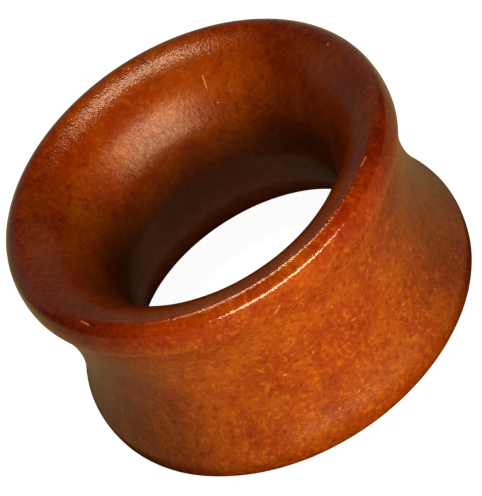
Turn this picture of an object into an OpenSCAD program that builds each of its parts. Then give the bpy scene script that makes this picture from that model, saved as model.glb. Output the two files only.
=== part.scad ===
// Wooden ear tunnel: a one-piece double-flared eyelet, turned on a lathe.
// It stands on one end face, with the origin at the middle of that face and +Z along the hole.
// All sizes are in millimetres.

/* [Gauge] */
// Diameter at the waist, which is the size of the stretched piercing that it fits
waist_d = 25; // [22:0.5:30]
// Overall length, from one end face to the other
length = 15.6; // [14:0.1:18]
// How far each flared lip stands out past the waist
flare_h = 1.2; // [0.8:0.1:1.6]

/* [Hole] */
// Thickness of the wood at the waist, from the throat to the outside
waist_wall = 4.5; // [4:0.05:4.8]
// Length of the straight land at the throat, between the two funnels
land_l = 0.6; // [0.4:0.1:1.2]
// Angle between the ring's axis and the straight lower part of each funnel
funnel_angle = 11; // [8:0.5:13]
// Slope of the wall where it runs out onto the end face, in degrees from level
mouth_slope = 15; // [10:1:20]

/* [Lips] */
// Radius of the round on the outer side of each lip
lip_round = 2.5; // [2.2:0.1:3]
// How far the end face stays in from the largest radius
lip_inset = 0.8; // [0.6:0.05:1]
// Width of the narrow flat end face on the crest of each lip
face_w = 0.25; // [0.2:0.05:0.5]
// How far the round runs on past the largest radius, down to the neck edge
neck_drop = 0.45; // [0.3:0.05:0.6]

/* [Hidden] */
$fn = 144;
// Colour of the stained wood, as red, green and blue
wood_colour = [0.68, 0.29, 0.07];
// How far the cutters reach past the wood
margin = 1;

half_l = length / 2;
waist_r = waist_d / 2;
flare_r = waist_r + flare_h;
throat_r = waist_r - waist_wall;

// The end face runs from face_x in to mouth_x.
face_x = flare_r - lip_inset;
mouth_x = face_x - face_w;

// Centre of the lip's round, which meets the end face at face_x and is widest at lip_z.
lip_x = flare_r - lip_round;
lip_z = half_l - sqrt(pow(lip_round, 2) - pow(face_x - lip_x, 2));

// The neck edge is where the lip's round meets the hollow of the waist.
neck_z = lip_z - neck_drop;
neck_x = lip_x + sqrt(pow(lip_round, 2) - pow(neck_drop, 2));

// The hollow is an arc that starts square to the middle of the ring and passes the neck edge.
waist_arc_r = (pow(neck_x - waist_r, 2) + pow(neck_z, 2)) / (2 * (neck_x - waist_r));

// The mouth's arc leaves the end face at mouth_slope and runs smoothly into the funnel's cone.
mouth_arc_r = (mouth_x - throat_r - tan(funnel_angle) * (half_l - land_l / 2))
    / (cos(funnel_angle) + tan(funnel_angle) * (sin(funnel_angle) - cos(mouth_slope)) - sin(mouth_slope));
mouth_arc_x = mouth_x + mouth_arc_r * sin(mouth_slope);
mouth_arc_z = half_l - mouth_arc_r * cos(mouth_slope);
cone_x = mouth_arc_x - mouth_arc_r * cos(funnel_angle);
cone_z = mouth_arc_z + mouth_arc_r * sin(funnel_angle);

// The hollow round the outside, which the lobe sits in.
module waist_cut() {
    translate([waist_r + waist_arc_r, 0]) circle(r = waist_arc_r);
}

// The corner that the round on the outside of the upper lip leaves out.
module lip_cut() {
    difference() {
        translate([lip_x, neck_z]) square([lip_round + 2 * margin, half_l + margin - neck_z]);
        translate([lip_x, lip_z]) circle(r = lip_round);
    }
}

// The upper funnel: a cone from the throat, then a wall that curls out to the end face.
module funnel_cut() {
    difference() {
        polygon([
            [throat_r, land_l / 2],
            [cone_x, cone_z],
            [mouth_x, cone_z],
            [mouth_x, half_l + margin],
            [throat_r - margin, half_l + margin],
            [throat_r - margin, land_l / 2],
        ]);
        translate([mouth_arc_x, mouth_arc_z]) circle(r = mouth_arc_r);
    }
}

// Section of the wall, with the radius along x and the ring's axis along y.
module wall_section() {
    difference() {
        translate([throat_r, -half_l]) square([flare_r + margin - throat_r, length]);
        waist_cut();
        for (flip = [0, 1]) mirror([0, flip]) {
            lip_cut();
            funnel_cut();
        }
    }
}

module tunnel() {
    color(wood_colour)
        translate([0, 0, half_l])
            rotate_extrude()
                wall_section();
}

tunnel();
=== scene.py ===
import math

import bpy
import numpy as np
from mathutils import Matrix, Vector, noise


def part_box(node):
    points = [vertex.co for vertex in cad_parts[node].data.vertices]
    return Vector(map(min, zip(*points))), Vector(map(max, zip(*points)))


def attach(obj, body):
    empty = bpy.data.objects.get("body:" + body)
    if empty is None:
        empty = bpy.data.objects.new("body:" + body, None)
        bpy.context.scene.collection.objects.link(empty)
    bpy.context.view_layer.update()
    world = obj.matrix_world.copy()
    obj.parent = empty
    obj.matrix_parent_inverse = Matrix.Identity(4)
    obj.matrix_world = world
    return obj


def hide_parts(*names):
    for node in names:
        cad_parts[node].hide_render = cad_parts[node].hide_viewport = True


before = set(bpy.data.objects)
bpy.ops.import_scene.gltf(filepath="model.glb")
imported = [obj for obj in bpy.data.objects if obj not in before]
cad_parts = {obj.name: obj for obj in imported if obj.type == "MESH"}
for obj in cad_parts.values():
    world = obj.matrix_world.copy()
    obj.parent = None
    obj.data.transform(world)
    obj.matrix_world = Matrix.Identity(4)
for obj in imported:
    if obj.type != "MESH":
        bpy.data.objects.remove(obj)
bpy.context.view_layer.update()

tunnelLow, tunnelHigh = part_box("tunnel")
mm = 0.001

scene = bpy.context.scene
scene.view_settings.view_transform = "Standard"
scene.view_settings.look = "None"
scene.view_settings.gamma = 0.77     # the firm contrast of a shop photo

halfLength = (tunnelHigh.z - tunnelLow.z) / 2
flareRadius = (tunnelHigh.x - tunnelLow.x) / 2
ringCentre = Vector((0, 0, tunnelLow.z + halfLength))

# Camera. Its turn about its own axis tips the tunnel to the upper left of the picture.
cameraSetup = {
    "elevation": 40.99,      # degrees above the floor
    "roll": 32.70,
    "distance": 414.4 * mm,
    "lens": 459.6,           # millimetres, on a sensor of 36
    "sensor": 36.0,
    "right": 0.115 * mm,     # small steps in the picture's plane,
    "up": -0.121 * mm,       # which place the tunnel as in the photo
    "nearest": 0.01,
    "farthest": 10,
}


def makeCamera():
    lift, roll = math.radians(cameraSetup["elevation"]), math.radians(cameraSetup["roll"])
    back = Vector((0, -math.cos(lift), math.sin(lift)))
    levelRight = Vector((1, 0, 0))
    levelUp = back.cross(levelRight)
    right = math.cos(roll) * levelRight - math.sin(roll) * levelUp
    up = math.sin(roll) * levelRight + math.cos(roll) * levelUp
    place = ringCentre + back * cameraSetup["distance"]
    place += right * cameraSetup["right"] + up * cameraSetup["up"]
    camera = bpy.data.objects.new("camera", bpy.data.cameras.new("camera"))
    camera.data.lens = cameraSetup["lens"]
    camera.data.sensor_width = cameraSetup["sensor"]
    camera.data.clip_start = cameraSetup["nearest"]
    camera.data.clip_end = cameraSetup["farthest"]
    camera.matrix_world = Matrix((right, up, back)).transposed().to_4x4()
    camera.location = place
    scene.collection.objects.link(camera)
    scene.camera = camera
    print("camera set")


# Short ways to place shader nodes; x and y are only where they lie in the node editor
def addNode(tree, kind, x, y, **settings):
    node = tree.nodes.new(kind)
    node.location = (x, y)
    for name, value in settings.items():
        setattr(node, name, value)
    return node


def setInputs(node, **values):
    for name, value in values.items():
        node.inputs[name.replace("_", " ")].default_value = value


def newMaterial(name):
    material = bpy.data.materials.new(name)
    material.use_nodes = True
    material.node_tree.nodes.clear()
    return material, material.node_tree


# Floor: a plain pale sheet. It looks white to the camera, and throws a dimmer light on the wood.
floorSetup = {
    "size": 1.6,
    "paper": (0.18, 0.18, 0.18),         # how much of the lights on it the camera sees
    "white": (0.97, 0.97, 0.97),         # and how it glows there
    "bounce": (0.50, 0.40, 0.24),        # how much of the lights on it the wood gets back
    "glow": (0.236, 0.194, 0.120),       # and how it glows on the wood
    "contactRadius": 12.0 * mm,          # a painted contact shadow: the wood gets nothing from the strip under the tunnel's wall, as far as this to both sides of the radius, and all from here on
    "contactDark": 2.3 * mm,             # as far as this to both sides of the radius,
    "contactFade": 4.6 * mm,             # and all from here on
}


# Paper that throws back a part of the lights on it and glows as well
def paperLook(tree, y, part, glow):
    matt = addNode(tree, "ShaderNodeBsdfDiffuse", 0, y)
    matt.inputs["Color"].default_value = (*part, 1)
    bright = addNode(tree, "ShaderNodeEmission", 0, y - 130)
    bright.inputs["Color"].default_value = (*glow, 1)
    both = addNode(tree, "ShaderNodeAddShader", 200, y)
    tree.links.new(matt.outputs[0], both.inputs[0])
    tree.links.new(bright.outputs[0], both.inputs[1])
    return both


def makeFloor():
    half = floorSetup["size"] / 2
    corners = [(-half, -half, 0), (half, -half, 0), (half, half, 0), (-half, half, 0)]
    mesh = bpy.data.meshes.new("floor")
    mesh.from_pydata(corners, [], [(0, 1, 2, 3)])
    floor = bpy.data.objects.new("floor", mesh)
    scene.collection.objects.link(floor)
    material, tree = newMaterial("palePaper")
    toWood = paperLook(tree, -80, floorSetup["bounce"], floorSetup["glow"])
    toCamera = paperLook(tree, -360, floorSetup["paper"], floorSetup["white"])

    # The strip under the tunnel's wall: a painted contact shadow in the light that the floor throws on the
    # wood
    onFloor = addNode(tree, "ShaderNodeTexCoord", -900, -80)
    reach = addNode(tree, "ShaderNodeVectorMath", -700, -80, operation="LENGTH")
    past = addNode(tree, "ShaderNodeMath", -520, -80, operation="SUBTRACT")
    past.inputs[1].default_value = floorSetup["contactRadius"]
    gap = addNode(tree, "ShaderNodeMath", -340, -80, operation="ABSOLUTE")
    fade = addNode(tree, "ShaderNodeMapRange", -170, -80, interpolation_type="SMOOTHSTEP")
    setInputs(fade, From_Min=floorSetup["contactDark"], From_Max=floorSetup["contactFade"])
    faded = addNode(tree, "ShaderNodeMixShader", 370, -80)
    tree.links.new(onFloor.outputs["Object"], reach.inputs[0])
    tree.links.new(reach.outputs["Value"], past.inputs[0])
    tree.links.new(past.outputs[0], gap.inputs[0])
    tree.links.new(gap.outputs[0], fade.inputs["Value"])
    tree.links.new(fade.outputs[0], faded.inputs[0])
    tree.links.new(toWood.outputs[0], faded.inputs[2])

    path = addNode(tree, "ShaderNodeLightPath", 370, 480)
    pick = addNode(tree, "ShaderNodeMixShader", 560, 0)
    out = addNode(tree, "ShaderNodeOutputMaterial", 760, 0)
    tree.links.new(path.outputs["Is Camera Ray"], pick.inputs[0])
    tree.links.new(faded.outputs[0], pick.inputs[1])
    tree.links.new(toCamera.outputs[0], pick.inputs[2])
    tree.links.new(pick.outputs[0], out.inputs["Surface"])
    mesh.materials.append(material)
    print("floor laid")


# Lights, all aimed at the middle of the tunnel. A lift of 0 comes level from the camera's side,
# 90 from straight above and 180 level from behind.
studioLights = {
    "keyLight": {
        "lift": 16.6, "side": 8, "distance": 150 * mm,
        "width": 180 * mm, "height": 36 * mm,
        "power": 0.35, "colour": (1.0, 0.95, 0.68),
    },
    "topLight": {
        "lift": 92, "side": -2, "distance": 120 * mm,
        "width": 74 * mm, "height": 18 * mm,
        "power": 0.060, "colour": (1.0, 0.97, 0.74),
    },
    "backFill": {                        # dim and wide, for the side that the camera doesn't see
        "lift": 158, "side": 0, "distance": 320 * mm,
        "width": 900 * mm, "height": 340 * mm,
        "power": 0.34, "colour": (1.0, 0.92, 0.74),
    },
}
roomLight = {"ambient": (0.014, 0.012, 0.010), "seen": (0.96, 0.96, 0.96)}


def makeLights():
    for name, spec in studioLights.items():
        lift, side = math.radians(spec["lift"]), math.radians(spec["side"])
        level = math.cos(lift)
        aim = Vector((level * math.sin(side), -level * math.cos(side), math.sin(lift)))
        data = bpy.data.lights.new(name, "AREA")
        data.shape = "RECTANGLE"
        data.size = spec["width"]
        data.size_y = spec["height"]
        data.energy = spec["power"]
        data.color = spec["colour"]
        light = bpy.data.objects.new(name, data)
        light.location = ringCentre + aim * spec["distance"]
        light.rotation_euler = aim.to_track_quat("Z", "Y").to_euler()
        light.visible_camera = False
        scene.collection.objects.link(light)
    world = bpy.data.worlds.new("room")
    world.use_nodes = True
    tree = world.node_tree
    tree.nodes.clear()
    out = addNode(tree, "ShaderNodeOutputWorld", 500, 0)
    ambient = addNode(tree, "ShaderNodeBackground", 0, 100)
    ambient.inputs["Color"].default_value = (*roomLight["ambient"], 1)
    seen = addNode(tree, "ShaderNodeBackground", 0, -80)
    seen.inputs["Color"].default_value = (*roomLight["seen"], 1)
    path = addNode(tree, "ShaderNodeLightPath", 0, 480)
    mix = addNode(tree, "ShaderNodeMixShader", 250, 0)
    tree.links.new(path.outputs["Is Camera Ray"], mix.inputs[0])
    tree.links.new(ambient.outputs[0], mix.inputs[1])
    tree.links.new(seen.outputs[0], mix.inputs[2])
    tree.links.new(mix.outputs[0], out.inputs["Surface"])
    scene.world = world
    print("lights set")


# Shape of the turned tunnel. Places on the section are radii from its axis and heights from its middle.
tunnelShape = {
    "waistRadius": 12.5 * mm,
    "neckEdge": (13.659 * mm, 5.517 * mm),    # where the hollow of the waist meets the lip
    "widestHeight": 5.967 * mm,
    "lipRound": 2.5 * mm,                     # between the neck edge and the widest line
    "shoulder": (13.51 * mm, 7.19 * mm),      # soft edge on the outer side of the lip
    "crest": (12.66 * mm, 7.80 * mm),         # the highest line, where the lip turns in to the funnel
    "crestRound": 1.0 * mm,
    "crestTurn": (80.0, 47.0),                # lie of that round, in degrees, from the crest outwards
    "mouthSlope": 15.0,                       # degrees from level, where the wall leaves the crest
    "mouthRound": 5.30 * mm,
    "wallSlope": 62.0,                        # slope of the straight bit of wall below the mouth
    "wallLength": 1.54 * mm,
    "funnelRound": 4.0 * mm,
    "coneAngle": 7.0,                         # degrees from the axis
    "edgeSoftness": 0.16 * mm,
    "softReach": 4,                           # how many times that the softening reaches
    "step": 0.02 * mm,                        # between points, while the section is worked out
    "leastGap": 0.2,                          # of a step; points nearer than that become one
    "longestFacet": 0.30 * mm,
    "turnPerFacet": 4.0,                      # degrees
    "segments": 400,
    "handWave": 0.012 * mm,                   # unevenness left by hand sanding
    "waveLength": 3.2 * mm,
    "fineWave": 0.0045 * mm,
    "fineLength": 0.8 * mm,
}


# Points along an arc; angles in degrees, from the outward direction
def arcPoints(centre, radius, start, end, step):
    count = max(2, int(radius * abs(math.radians(end - start)) / step))
    angles = [math.radians(start + (end - start) * i / count) for i in range(count + 1)]
    return [(centre[0] + radius * math.cos(a), centre[1] + radius * math.sin(a)) for a in angles]


def linePoints(a, b, step):
    count = max(1, int(math.dist(a, b) / step))
    return [(a[0] + (b[0] - a[0]) * i / count, a[1] + (b[1] - a[1]) * i / count) for i in range(count + 1)]


# The wall's section from the middle of the waist, over the upper lip, to the crease at the throat
def upperProfile():
    shape = tunnelShape
    step, waist, neck = shape["step"], shape["waistRadius"], shape["neckEdge"]
    widest, lipRound, shoulder = shape["widestHeight"], shape["lipRound"], shape["shoulder"]

    # The hollow of the waist
    rise = neck[0] - waist
    waistArc = (rise ** 2 + neck[1] ** 2) / (2 * rise)
    turn = math.degrees(math.asin(neck[1] / waistArc))
    points = arcPoints((waist + waistArc, 0), waistArc, 180, 180 - turn, step)

    # The side of the lip, first up to the widest line and then up to the shoulder
    drop = math.degrees(math.asin((widest - neck[1]) / lipRound))
    points += arcPoints((flareRadius - lipRound, widest), lipRound, -drop, 0, step)
    inset, up = flareRadius - shoulder[0], shoulder[1] - widest
    sideArc = (inset ** 2 + up ** 2) / (2 * inset)
    turn = math.degrees(math.asin(up / sideArc))
    points += arcPoints((flareRadius - sideArc, widest), sideArc, 0, turn, step)

    # A bevel from the shoulder to the round of the crest
    crest, crestRound = shape["crest"], shape["crestRound"]
    high, low = shape["crestTurn"]
    lean = math.radians(high)
    centre = (crest[0] - crestRound * math.cos(lean), crest[1] - crestRound * math.sin(lean))
    crestArc = arcPoints(centre, crestRound, low, high, step)
    points += linePoints(shoulder, crestArc[0], step) + crestArc

    # The wall inside runs down the mouth's round, a straight bit and the round that ends near the throat.
    lie = 90 + shape["mouthSlope"]
    for size, foot, straight in (
        (shape["mouthRound"], 90 + shape["wallSlope"], shape["wallLength"]),
        (shape["funnelRound"], 180 - shape["coneAngle"], 0),
    ):
        r, z = points[-1]
        centre = (r - size * math.cos(math.radians(lie)), z - size * math.sin(math.radians(lie)))
        points += arcPoints(centre, size, lie, foot, step)
        lie = foot
        if straight:
            r, z = points[-1]
            fall = math.radians(foot)
            end = (r - straight * math.sin(fall), z + straight * math.cos(fall))
            points += linePoints((r, z), end, step)
    r, z = points[-1]
    throat = (r - z * math.tan(math.radians(shape["coneAngle"])), 0)
    points += linePoints((r, z), throat, step)
    print("throat radius %.3f mm" % (throat[0] / mm))
    return points


# Both halves of the section as one closed loop, its edges softened, with points only where it bends
def softenedProfile():
    shape = tunnelShape
    step, soft = shape["step"], shape["edgeSoftness"]
    upper = upperProfile()
    loop = upper + [(r, -z) for r, z in reversed(upper)]
    loop = [p for i, p in enumerate(loop) if math.dist(p, loop[i - 1]) > step * shape["leastGap"]]
    closed = np.array(loop + [loop[0]])
    gaps = np.hypot(*np.diff(closed, axis=0).T)
    along = np.concatenate([[0], np.cumsum(gaps)])
    count = int(along[-1] / step)
    even = np.linspace(0, along[-1], count, endpoint=False)
    r, z = np.interp(even, along, closed[:, 0]), np.interp(even, along, closed[:, 1])

    # Each point moves to the mean of its neighbours, which count less the farther off they are.
    reach = int(shape["softReach"] * soft / step)
    weights = np.exp(-0.5 * (np.arange(-reach, reach + 1) * step / soft) ** 2)
    weights /= weights.sum()
    r, z = (np.convolve(np.concatenate([v[-reach:], v, v[:reach]]), weights, "valid") for v in (r, z))

    heading = np.unwrap(np.arctan2(np.roll(z, -1) - z, np.roll(r, -1) - r))
    kept, last = [0], 0
    for i in range(1, count):
        turned = abs(math.degrees(heading[i] - heading[last]))
        if turned > shape["turnPerFacet"] or (i - last) * step > shape["longestFacet"]:
            kept.append(i)
            last = i
    return [(r[i], z[i]) for i in kept]


def makeTunnel():
    shape = tunnelShape
    profile = softenedProfile()
    rows, segments = len(profile), shape["segments"]
    points = []
    for i in range(segments):
        angle = 2 * math.pi * i / segments
        alongX, alongY = math.cos(angle), math.sin(angle)
        for r, z in profile:
            spot = Vector((r * alongX, r * alongY, z))
            wave = shape["handWave"] * noise.noise(spot / shape["waveLength"])
            wave += shape["fineWave"] * noise.noise(spot / shape["fineLength"])
            swell = 1 + wave / r
            points.append((r * swell * alongX, r * swell * alongY, ringCentre.z + z))
    faces = []
    for i in range(segments):
        here, there = i * rows, (i + 1) % segments * rows
        for j in range(rows):
            k = (j + 1) % rows
            faces.append((here + j, there + j, there + k, here + k))
    mesh = bpy.data.meshes.new("turnedTunnel")
    mesh.from_pydata(points, [], faces)
    mesh.validate()
    mesh.shade_smooth()
    tunnel = bpy.data.objects.new("turnedTunnel", mesh)
    scene.collection.objects.link(tunnel)
    tunnel.data.materials.append(makeStainedWood())
    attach(tunnel, "root")
    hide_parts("tunnel")
    print("tunnel turned:", rows, "points round the section,", 2 * len(faces), "triangles")


# Stained wood. Sizes are in millimetres, and places are measured from the middle of the foot.
woodFinish = {
    "redBrown": (0.302, 0.050, 0.0014),
    "orangeBrown": (0.362, 0.083, 0.0020),
    "yellowFleck": (0.48, 0.158, 0.0035),
    "darkPore": (0.17, 0.022, 0.001),
    "lipStainAndShade": (0.90, 0.50, 0.50),       # what is left of the wood's colour on the upper lip, a red stain made deeper at the left and right as painted shade, and at two opposite sides, left and right, as painted shade where the frontal light falls off
    "sideShade": (0.64, 0.60, 0.60),       # and at two opposite sides, which drink more stain
    "paleMark": (0.62, 0.27, 0.09),
    "darkMark": (0.17, 0.030, 0.002),
    "darkMarkShare": 0.65,
    "lipRoughness": 0.16,                 # polished by wear
    "waxRoughness": 0.14,
    "streakLength": 6.0,                  # times as long as wide
    "bumpDepth": 0.024,                   # of the streaks
    "poreDepth": 0.6,                     # shares of that
    "gritDepth": 0.5,

    # Noises: the size, the detail and the roughness of each
    "noises": {
        "cloud": (3.2, 3, 0.55),
        "cluster": (0.9, 2, 0.5),
        "fleck": (0.32, 3, 0.65),
        "pore": (0.38, 3, 0.6),
        "streak": (0.22, 3, 0.6),
        "grit": (0.14, 1, 0.5),
    },

    # Soft steps: what each goes by, where it starts and ends, and its value at the start and the end
    "steps": {
        "orange": ("cloud", 0.36, 0.64, 0.0, 1.0),
        "fleck": ("fleck", 0.47, 0.63, 0.0, 0.70),
        "fleckCluster": ("cluster", 0.36, 0.62, 0.25, 1.0),
        "fleckOutside": ("radius", 11.5, 12.6, 0.55, 1.0),      # weaker in the hole
        "pore": ("pore", 0.47, 0.68, 0.0, 0.62),
        "poreCluster": ("cluster", 0.40, 0.62, 1.0, 0.3),       # weaker where the flecks gather
        "lipHeight": ("height", 13.10, 14.30, 0.0, 1.0),
        "lipOutside": ("radius", 11.8, 12.8, 0.35, 1.0),        # less red on the side of the hole, and at the front and the back; the full red at the left and right is painted shade
        "lipSideShade": ("sideways", 0.10, 0.80, 0.25, 1.0),        # and at the front and the back
        # painted shade: the left and right sides darker, where the frontal light falls off
        "sideShade": ("sideways", 0.47, 0.90, 0.0, 1.0),
        "roughness": ("radius", 10.5, 12.0, 0.35, 0.31),        # the polish doesn't reach into the hole
        "uneven": ("streak", 0.3, 0.7, -0.05, 0.05),
        "polish": ("height", 13.3, 14.6, 0.0, 1.0),
        "waxHeight": ("height", 14.7, 15.1, 0.0, 1.0),          # wax along the top of the lip
        "waxRadius": ("radius", 12.3, 12.7, 0.0, 0.70),
    },
}

# Scratches and specks: the two ends, the half width, and whether each is pale or dark
wearMarks = {
    "lipScratch": ((-0.45, -13.60, 13.22), (0.12, -13.66, 13.66), 0.085, "pale"),
    "crestHook": ((-11.07, -6.71, 15.50), (-10.80, -7.34, 15.44), 0.085, "pale"),
    "crestSpeck": ((9.26, -8.79, 15.57), (9.85, -8.27, 15.54), 0.075, "pale"),
    "rimSpeck": ((11.90, 3.16, 15.51), (11.98, 3.28, 15.51), 0.080, "pale"),
    "wallTick": ((4.04, 9.25, 14.02), (3.83, 8.77, 13.35), 0.085, "pale"),
    "wallSpeck": ((3.91, 8.10, 12.30), (3.91, 8.12, 12.37), 0.090, "pale"),
    "bodySpeck": ((2.85, -12.35, 9.96), (2.90, -12.34, 10.04), 0.075, "pale"),
    "neckSpeck": ((-12.34, -3.84, 11.19), (-12.40, -3.74, 11.05), 0.090, "pale"),
    "sideSpeck": ((6.84, -10.73, 5.34), (6.90, -10.69, 5.40), 0.075, "pale"),
    "middleSpeck": ((0.28, -12.50, 7.66), (0.34, -12.50, 7.74), 0.085, "pale"),
    "middleDash": ((3.49, -12.00, 7.73), (3.78, -11.92, 7.71), 0.060, "pale"),
    "yellowSpeck": ((-2.03, -12.35, 7.26), (-1.90, -12.37, 7.20), 0.100, "pale"),
    "footSpeck": ((-0.22, -13.33, 3.05), (-0.16, -13.33, 3.15), 0.080, "pale"),
    "footDash": ((1.38, -13.17, 3.30), (1.55, -13.15, 3.38), 0.070, "pale"),
    "leftKnot": ((-3.16, -12.15, 6.56), (-3.02, -12.19, 6.46), 0.200, "dark"),
    "rightKnot": ((6.10, -11.68, 3.50), (6.24, -11.62, 3.58), 0.140, "dark"),
    "boreLine": ((-0.45, 8.06, 9.25), (-0.51, 7.92, 8.13), 0.110, "dark"),
    "rimNotch": ((1.19, 12.33, 15.52), (1.53, 11.46, 15.18), 0.240, "dark"),
}


# Group that marks a short line between two places, soft at its edge
def makeMarkGroup():
    group = bpy.data.node_groups.new("shortMark", "ShaderNodeTree")
    for name, kind in (("Place", "Vector"), ("From", "Vector"), ("To", "Vector"), ("Half Width", "Float")):
        group.interface.new_socket(name, in_out="INPUT", socket_type="NodeSocket" + kind)
    group.interface.new_socket("Mask", in_out="OUTPUT", socket_type="NodeSocketFloat")
    start = addNode(group, "NodeGroupInput", -900, 0)
    end = addNode(group, "NodeGroupOutput", 700, 0)

    def vectorStep(operation, x, y, a, b):
        node = addNode(group, "ShaderNodeVectorMath", x, y, operation=operation)
        group.links.new(a, node.inputs[0])
        group.links.new(b, node.inputs[1])
        return node

    length = vectorStep("SUBTRACT", -700, -200, start.outputs["To"], start.outputs["From"])
    reach = vectorStep("SUBTRACT", -700, 100, start.outputs["Place"], start.outputs["From"])
    shadow = vectorStep("DOT_PRODUCT", -500, 100, reach.outputs[0], length.outputs[0])
    square = vectorStep("DOT_PRODUCT", -500, -200, length.outputs[0], length.outputs[0])
    share = addNode(group, "ShaderNodeMath", -300, 0, operation="DIVIDE", use_clamp=True)
    group.links.new(shadow.outputs["Value"], share.inputs[0])
    group.links.new(square.outputs["Value"], share.inputs[1])
    nearest = addNode(group, "ShaderNodeVectorMath", -100, -100, operation="SCALE")
    group.links.new(length.outputs[0], nearest.inputs[0])
    group.links.new(share.outputs[0], nearest.inputs["Scale"])
    gap = vectorStep("DISTANCE", 100, 0, reach.outputs[0], nearest.outputs[0])
    mask = addNode(group, "ShaderNodeMapRange", 400, 0, interpolation_type="SMOOTHSTEP")
    setInputs(mask, From_Min=0.0, To_Min=1.0, To_Max=0.0)
    group.links.new(gap.outputs["Value"], mask.inputs["Value"])
    group.links.new(start.outputs["Half Width"], mask.inputs["From Max"])
    group.links.new(mask.outputs[0], end.inputs["Mask"])
    return group


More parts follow.
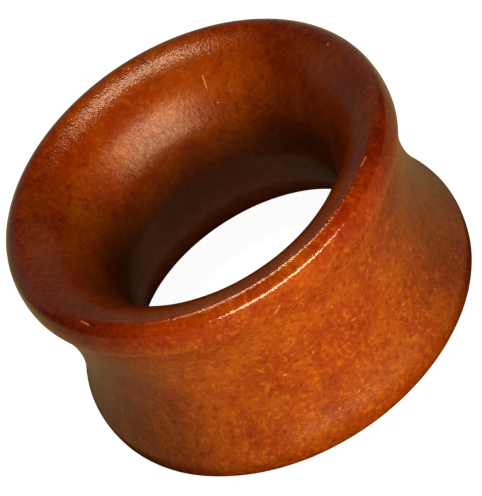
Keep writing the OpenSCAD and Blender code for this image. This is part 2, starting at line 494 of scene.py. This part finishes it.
def makeStainedWood():
    look = woodFinish
    material, tree = newMaterial("stainedWood")
    out = addNode(tree, "ShaderNodeOutputMaterial", 1900, 0)
    wood = addNode(tree, "ShaderNodeBsdfPrincipled", 1600, 0)
    tree.links.new(wood.outputs[0], out.inputs["Surface"])

    def mathOf(operation, x, y, *values):
        node = addNode(tree, "ShaderNodeMath", x, y, operation=operation)
        for socket, value in zip(node.inputs, values):
            if isinstance(value, (int, float)):
                socket.default_value = value
            else:
                tree.links.new(value, socket)
        return node.outputs[0]

    def mixOf(x, y, factor, a, b, blend="MIX"):
        node = addNode(tree, "ShaderNodeMix", x, y, data_type="RGBA", blend_type=blend)
        for name, value in (("Factor", factor), ("A", a), ("B", b)):
            if isinstance(value, tuple):
                node.inputs[name].default_value = (*value, 1)
            else:
                tree.links.new(value, node.inputs[name])
        return node.outputs["Result"]

    # What the steps go by: three measures, of which sideways runs from 0 at the front and the back
    # to 1 at the right and the left, and the noises
    coords = addNode(tree, "ShaderNodeTexCoord", -1600, 0)
    inMm = addNode(tree, "ShaderNodeMapping", -1400, 0)
    inMm.inputs["Scale"].default_value = (1 / mm, 1 / mm, 1 / mm)
    tree.links.new(coords.outputs["Object"], inMm.inputs["Vector"])
    drawnOut = addNode(tree, "ShaderNodeMapping", -1200, -300)
    drawnOut.inputs["Scale"].default_value = (1, 1, 1 / look["streakLength"])
    tree.links.new(inMm.outputs[0], drawnOut.inputs["Vector"])
    split = addNode(tree, "ShaderNodeSeparateXYZ", -1200, -600)
    tree.links.new(inMm.outputs[0], split.inputs[0])
    flat = addNode(tree, "ShaderNodeVectorMath", -1200, -800, operation="MULTIPLY")
    flat.inputs[1].default_value = (1, 1, 0)
    tree.links.new(inMm.outputs[0], flat.inputs[0])
    radius = addNode(tree, "ShaderNodeVectorMath", -1000, -800, operation="LENGTH")
    tree.links.new(flat.outputs[0], radius.inputs[0])
    fromMiddle = mathOf("ABSOLUTE", -1000, -600, split.outputs["X"])
    source = {"height": split.outputs["Z"], "radius": radius.outputs["Value"]}
    source["sideways"] = mathOf("DIVIDE", -850, -700, fromMiddle, source["radius"])
    for row, (name, (size, detail, rough)) in enumerate(look["noises"].items()):
        texture = addNode(tree, "ShaderNodeTexNoise", -1000, 800 - 220 * row)
        setInputs(texture, Scale=1 / size, Detail=detail, Roughness=rough)
        place = drawnOut if name == "streak" else inMm
        tree.links.new(place.outputs[0], texture.inputs["Vector"])
        source[name] = texture.outputs["Fac"]
    step = {}
    for row, (name, (goesBy, start, end, atStart, atEnd)) in enumerate(look["steps"].items()):
        y = 900 - 180 * row
        node = addNode(tree, "ShaderNodeMapRange", -650, y, interpolation_type="SMOOTHSTEP")
        setInputs(node, From_Min=start, From_Max=end, To_Min=atStart, To_Max=atEnd)
        tree.links.new(source[goesBy], node.inputs["Value"])
        step[name] = node.outputs[0]

    # Clouds of red-brown and orange-brown, with clusters of yellow flecks, and dark pores between them
    colour = mixOf(-300, 500, step["orange"], look["redBrown"], look["orangeBrown"])
    flecks = mathOf("MULTIPLY", -450, 300, step["fleck"], step["fleckCluster"])
    flecks = mathOf("MULTIPLY", -300, 250, flecks, step["fleckOutside"])
    colour = mixOf(-100, 450, flecks, colour, look["yellowFleck"])
    pores = mathOf("MULTIPLY", -300, 50, step["pore"], step["poreCluster"])
    colour = mixOf(100, 400, pores, colour, look["darkPore"])

    # Redder lip, a stain made deeper at the left and right as painted shade, and painted shade darkening
    # two opposite sides, left and right
    lip = mathOf("MULTIPLY", -450, -250, step["lipHeight"], step["lipOutside"])
    lip = mathOf("MULTIPLY", -300, -300, lip, step["lipSideShade"])
    colour = mixOf(300, 350, lip, colour, look["lipStainAndShade"], "MULTIPLY")
    # painted shade at the left and right sides
    colour = mixOf(500, 300, step["sideShade"], colour, look["sideShade"], "MULTIPLY")

    # Scratches and specks
    group = makeMarkGroup()
    marked = {"pale": None, "dark": None}
    for row, (start, end, halfWidth, tone) in enumerate(wearMarks.values()):
        y = -400 - 180 * row
        mark = addNode(tree, "ShaderNodeGroup", 100, y, node_tree=group)
        tree.links.new(inMm.outputs[0], mark.inputs["Place"])
        setInputs(mark, From=start, To=end, Half_Width=halfWidth)
        mask = mark.outputs["Mask"]
        marked[tone] = mask if marked[tone] is None else mathOf("MAXIMUM", 350, y, marked[tone], mask)
    colour = mixOf(900, 250, marked["pale"], colour, look["paleMark"])
    darkened = mathOf("MULTIPLY", 900, 0, marked["dark"], look["darkMarkShare"])
    colour = mixOf(1100, 200, darkened, colour, look["darkMark"])
    tree.links.new(colour, wood.inputs["Base Color"])

    # Satin gloss, glossier on the lip and dull on the pale marks
    rough = mathOf("ADD", 350, -150, step["roughness"], step["uneven"])
    polished = addNode(tree, "ShaderNodeMix", 600, -150, data_type="FLOAT")
    polished.inputs["B"].default_value = look["lipRoughness"]
    tree.links.new(step["polish"], polished.inputs["Factor"])
    tree.links.new(rough, polished.inputs["A"])
    rough = mathOf("ADD", 900, -150, polished.outputs["Result"], marked["pale"])
    tree.links.new(rough, wood.inputs["Roughness"])
    waxed = mathOf("MULTIPLY", 900, -650, step["waxHeight"], step["waxRadius"])
    tree.links.new(waxed, wood.inputs["Coat Weight"])
    setInputs(wood, Coat_Roughness=look["waxRoughness"])

    # Fine bump: raised streaks and grit, sunk pores
    sunk = mathOf("MULTIPLY", 700, -350, source["pore"], look["poreDepth"])
    raised = mathOf("MULTIPLY", 700, -500, source["grit"], look["gritDepth"])
    height = mathOf("SUBTRACT", 900, -350, source["streak"], sunk)
    height = mathOf("ADD", 1100, -350, height, raised)
    bump = addNode(tree, "ShaderNodeBump", 1300, -300)
    setInputs(bump, Strength=1.0, Distance=look["bumpDepth"] * mm)
    tree.links.new(height, bump.inputs["Height"])
    tree.links.new(bump.outputs[0], wood.inputs["Normal"])
    tree.links.new(bump.outputs[0], wood.inputs["Coat Normal"])
    print("wood stained")
    return material


makeCamera()
makeFloor()
makeLights()
makeTunnel()
